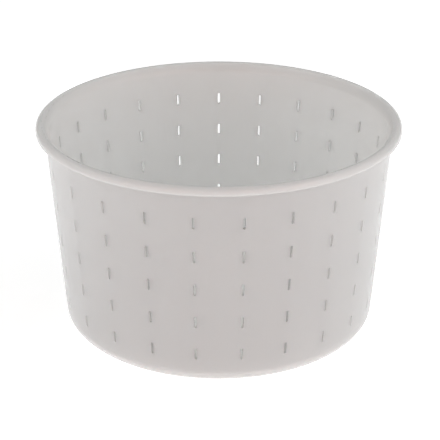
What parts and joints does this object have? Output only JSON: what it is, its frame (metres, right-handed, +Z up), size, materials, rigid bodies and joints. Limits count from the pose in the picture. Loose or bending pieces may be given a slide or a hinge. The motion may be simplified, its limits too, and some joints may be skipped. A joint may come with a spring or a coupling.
{
  "type": "cheese mould",
  "caption": "Round tapered cheese mould: a perforated one-piece plastic tub with a rounded rim bead, open at the top and drained through slots in wall and base.",
  "frame": {"origin": "on the mould's axis, in the plane that its foot ring stands on", "axes": "+Z up along the mould's axis, out of its mouth; +Y towards the rear, where one column of wall slots stands; +X to the right"},
  "size_m": [0.16, 0.16, 0.094],
  "materials": {
    "milky_polypropylene": "satin, milky translucent"
  },
  "bodies": {
    "root": {"mould_body": "milky_polypropylene"}
  },
  "joints": []
}
